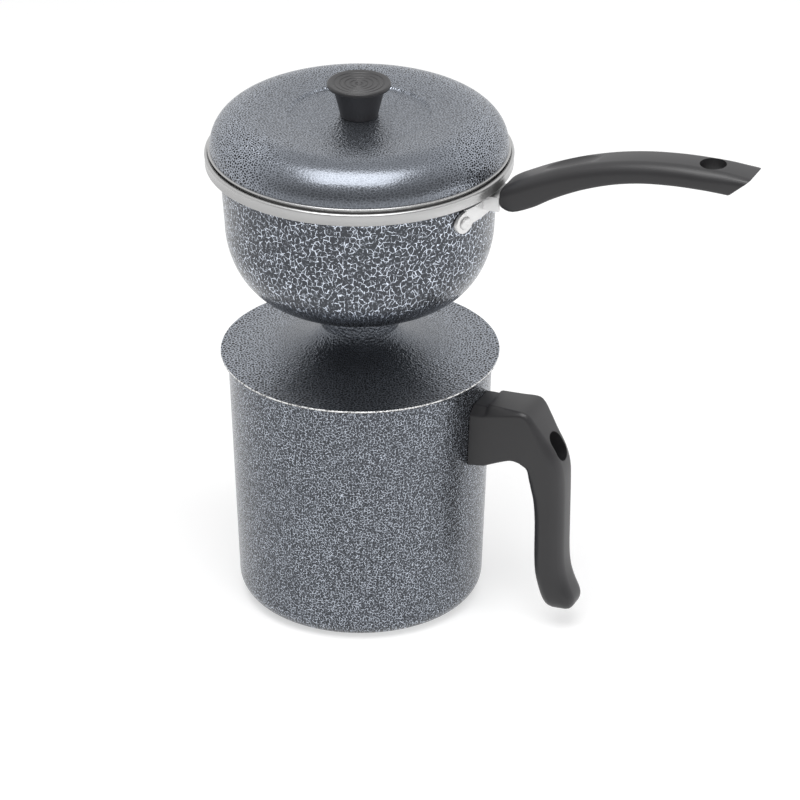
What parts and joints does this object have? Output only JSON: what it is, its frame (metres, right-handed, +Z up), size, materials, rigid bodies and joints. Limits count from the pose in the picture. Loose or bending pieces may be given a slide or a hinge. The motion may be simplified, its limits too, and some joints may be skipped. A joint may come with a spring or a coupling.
{
  "type": "couscous steamer",
  "caption": "Stacked stovetop couscous steamer: handled boiler mug, steam cone with a chimney, long-handled steamer bowl with a perforated plate, and a domed lid with a flared knob.",
  "frame": {"origin": "middle of the boiler's flat base, on the surface that it stands on", "axes": "+Z up along the common axis of all vessels, +X towards both handles, +Y completes the right-handed frame"},
  "size_m": [0.3041, 0.1642, 0.3006],
  "materials": {
    "crackle_paint": "satin charcoal over silver, crackled",
    "bare_aluminium": "satin",
    "black_bakelite": "satin black moulding",
    "plated_steel": "plated, bright",
    "brass": "turned"
  },
  "bodies": {
    "boiler": {"boiler_body": "crackle_paint", "boiler_bracket": "plated_steel", "boiler_rivet_upper": "plated_steel", "boiler_rivet_lower": "plated_steel", "boiler_handle": "black_bakelite", "boiler_handle_screw": "plated_steel"},
    "cone": {"steam_cone": "crackle_paint", "cone_locating_ring": "bare_aluminium"},
    "bowl": {"steamer_bowl": "crackle_paint", "bowl_collar": "crackle_paint", "bowl_bracket": "plated_steel", "bowl_rivet_front": "plated_steel", "bowl_rivet_back": "plated_steel", "bowl_handle": "black_bakelite", "bowl_handle_screw": "plated_steel"},
    "plate": {"steam_plate": "bare_aluminium", "plate_knob": "plated_steel", "plate_screw": "plated_steel"},
    "lid": {"lid": "crackle_paint", "lid_washer": "plated_steel", "lid_knob": "black_bakelite", "knob_insert": "brass", "lid_screw": "plated_steel"}
  },
  "joints": [
    {"name": "cone_lift", "type": "slide", "parent": "boiler", "child": "cone", "axis": [0, 0, 1], "range_m": [0, 0.08]},
    {"name": "bowl_lift", "type": "slide", "parent": "cone", "child": "bowl", "axis": [0, 0, 1], "range_m": [0, 0.08]},
    {"name": "plate_lift", "type": "slide", "parent": "bowl", "child": "plate", "axis": [0, 0, 1], "range_m": [0, 0.068]},
    {"name": "lid_lift", "type": "slide", "parent": "bowl", "child": "lid", "axis": [0, 0, 1], "range_m": [0, 0.16]}
  ]
}
